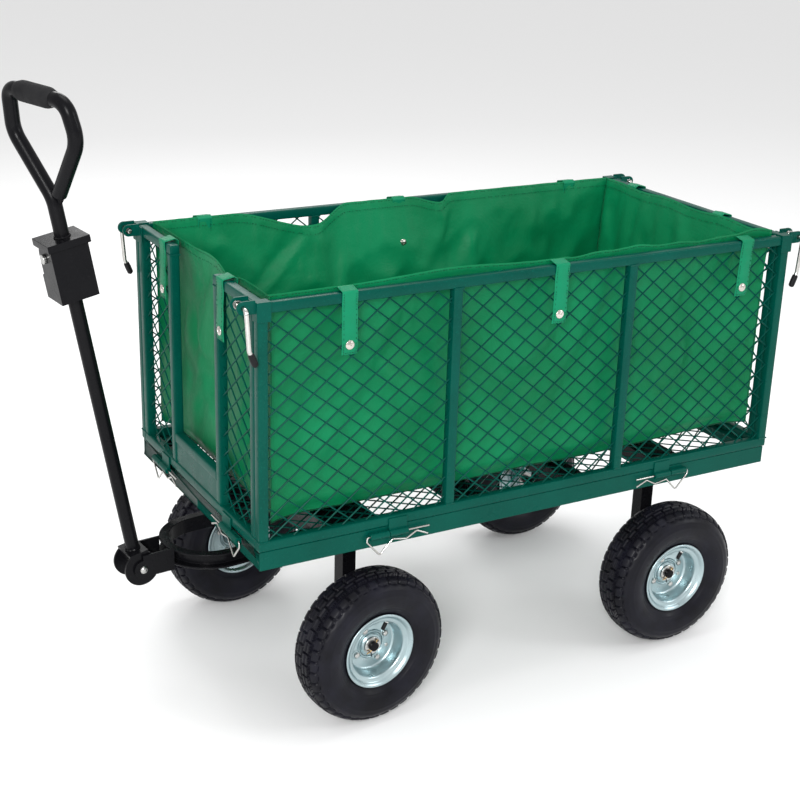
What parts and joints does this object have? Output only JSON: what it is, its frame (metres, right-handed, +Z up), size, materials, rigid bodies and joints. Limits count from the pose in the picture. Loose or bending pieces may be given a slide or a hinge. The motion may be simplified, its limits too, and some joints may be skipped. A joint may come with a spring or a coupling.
{
  "type": "garden cart",
  "caption": "Open steel mesh garden cart on pneumatic wheels with hinged sides, hanging fabric liner, steered front axle and folding pull handle",
  "frame": {"origin": "on the ground below the middle of the bed", "axes": "+X to the rear of the cart along its length, +Z up, the pulling end at -X"},
  "size_m": [1.3019, 0.5716, 1.0285],
  "materials": {
    "green_steel": "gloss enamel",
    "green_mesh": "gloss enamel on wire",
    "black_steel": "satin powder coat",
    "zinc_wire": "bright zinc plate",
    "zinc_bolt": "zinc plate",
    "zinc_rim": "bright zinc plate",
    "snap_metal": "nickel plate",
    "black_rubber": "matte",
    "foam_grip": "matte foam",
    "tyre_rubber": "satin rubber",
    "liner_fabric": "woven coated fabric",
    "strap_fabric": "woven coated fabric, stitched"
  },
  "bodies": {
    "bed": {"bed_rails": "green_steel", "bed_cross_members": "black_steel", "deck_mesh": "green_mesh", "bed_hinge_knuckles": "green_steel", "hinge_clips": "zinc_wire", "front_panel_frame": "green_steel", "rear_panel_frame": "green_steel", "front_panel_mesh": "green_mesh", "rear_panel_mesh": "green_mesh", "end_panel_brackets": "green_steel", "front_panel_plate": "green_steel", "liner": "liner_fabric", "end_liner_straps": "strap_fabric", "end_strap_snaps": "snap_metal", "pivot_plate": "black_steel", "kingpin_bolt": "zinc_bolt", "rear_legs": "black_steel", "rear_axle": "black_steel", "rear_axle_fasteners": "zinc_bolt"},
    "near_panel": {"near_panel_frame": "green_steel", "near_panel_mesh": "green_mesh", "near_panel_brackets": "green_steel", "near_liner_straps": "strap_fabric", "near_strap_snaps": "snap_metal"},
    "far_panel": {"far_panel_frame": "green_steel", "far_panel_mesh": "green_mesh", "far_panel_brackets": "green_steel", "far_liner_straps": "strap_fabric", "far_strap_snaps": "snap_metal"},
    "steering": {"steering_beam": "black_steel", "steering_bow": "black_steel", "tongue_channel": "black_steel", "front_legs": "black_steel", "front_axle": "black_steel", "front_axle_fasteners": "zinc_bolt", "tongue_bolt": "zinc_bolt"},
    "handle_lower": {"handle_fork": "black_steel", "lower_shaft": "black_steel", "hitch_box": "black_steel", "fold_pin": "zinc_bolt"},
    "handle_upper": {"hitch_lid": "black_steel", "handle_loop": "black_steel", "handle_grip": "foam_grip"},
    "latch_near_front": {"latch_pin_near_front": "zinc_wire", "latch_tip_near_front": "black_rubber"},
    "wheel_near_front": {"tyre_near_front": "tyre_rubber", "rim_near_front": "zinc_rim"},
    "latch_near_rear": {"latch_pin_near_rear": "zinc_wire", "latch_tip_near_rear": "black_rubber"},
    "wheel_near_rear": {"tyre_near_rear": "tyre_rubber", "rim_near_rear": "zinc_rim"},
    "latch_far_front": {"latch_pin_far_front": "zinc_wire", "latch_tip_far_front": "black_rubber"},
    "wheel_far_front": {"tyre_far_front": "tyre_rubber", "rim_far_front": "zinc_rim"},
    "latch_far_rear": {"latch_pin_far_rear": "zinc_wire", "latch_tip_far_rear": "black_rubber"},
    "wheel_far_rear": {"tyre_far_rear": "tyre_rubber", "rim_far_rear": "zinc_rim"}
  },
  "joints": [
    {"name": "front_axle_steer", "type": "hinge", "parent": "bed", "child": "steering", "pos_m": [-0.317, 0, 0.29], "axis": [0, 0, 1], "range_deg": [-48.5, 37.5]},
    {"name": "handle_tilt", "type": "hinge", "parent": "steering", "child": "handle_lower", "pos_m": [-0.61363, -0.02856, 0.2515], "axis": [0.0958, -0.9954, 0], "range_deg": [-3, 78]},
    {"name": "handle_fold", "type": "hinge", "parent": "handle_lower", "child": "handle_upper", "pos_m": [-0.70702, -0.03755, 0.77821], "axis": [-0.98, -0.0944, -0.1754], "range_deg": [0, 90]},
    {"name": "near_panel_fold", "type": "hinge", "parent": "bed", "child": "near_panel", "pos_m": [0, -0.2605, 0.335], "axis": [1, 0, 0], "range_deg": [0, 138]},
    {"name": "far_panel_fold", "type": "hinge", "parent": "bed", "child": "far_panel", "pos_m": [0, 0.2605, 0.335], "axis": [-1, 0, 0], "range_deg": [0, 138]},
    {"name": "latch_near_front_slide", "type": "slide", "parent": "near_panel", "child": "latch_near_front", "axis": [0, -1, 0], "range_m": [0, 0.013]},
    {"name": "latch_near_rear_slide", "type": "slide", "parent": "near_panel", "child": "latch_near_rear", "axis": [0, -1, 0], "range_m": [0, 0.013]},
    {"name": "latch_far_front_slide", "type": "slide", "parent": "far_panel", "child": "latch_far_front", "axis": [0, 1, 0], "range_m": [0, 0.013]},
    {"name": "latch_far_rear_slide", "type": "slide", "parent": "far_panel", "child": "latch_far_rear", "axis": [0, 1, 0], "range_m": [0, 0.013]},
    {"name": "wheel_near_front_spin", "type": "hinge", "parent": "steering", "child": "wheel_near_front", "pos_m": [-0.29448, -0.23392, 0.13], "axis": [-0.0958, 0.9954, 0], "continuous": true},
    {"name": "wheel_near_rear_spin", "type": "hinge", "parent": "bed", "child": "wheel_near_rear", "pos_m": [0.305, -0.242, 0.13], "axis": [0, 1, 0], "continuous": true},
    {"name": "wheel_far_front_spin", "type": "hinge", "parent": "steering", "child": "wheel_far_front", "pos_m": [-0.33952, 0.23392, 0.13], "axis": [-0.0958, 0.9954, 0], "continuous": true},
    {"name": "wheel_far_rear_spin", "type": "hinge", "parent": "bed", "child": "wheel_far_rear", "pos_m": [0.305, 0.242, 0.13], "axis": [0, 1, 0], "continuous": true}
  ]
}
